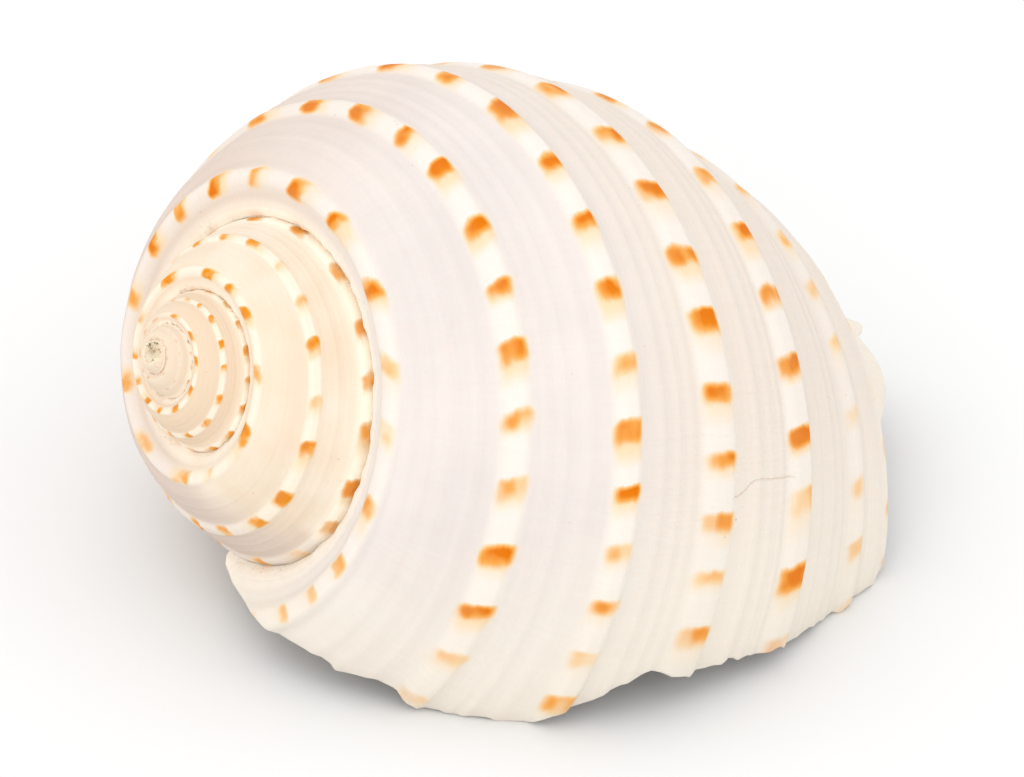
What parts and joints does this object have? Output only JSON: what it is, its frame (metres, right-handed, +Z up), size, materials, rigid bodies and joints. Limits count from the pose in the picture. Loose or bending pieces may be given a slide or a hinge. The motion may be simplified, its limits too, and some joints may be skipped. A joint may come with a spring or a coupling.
{
  "type": "tun shell",
  "caption": "Thin, round sea-snail shell coiled to a low spire, with broad spiral ribs, a wide thin-lipped opening and a short canal, lying on its opening.",
  "frame": {"origin": "centre of the bounding box in X and Y, on the floor the shell rests on", "axes": "+Z up with the shell resting on its lip, +X from the tip towards the canal along the coil's axis seen from above, -Y the side of the outer lip"},
  "size_m": [0.0756, 0.0582, 0.0454],
  "materials": {
    "shell": "smooth off-white shell, satin, with orange-brown blocks along the ribs"
  },
  "bodies": {
    "root": {"shell": "shell"}
  },
  "joints": []
}
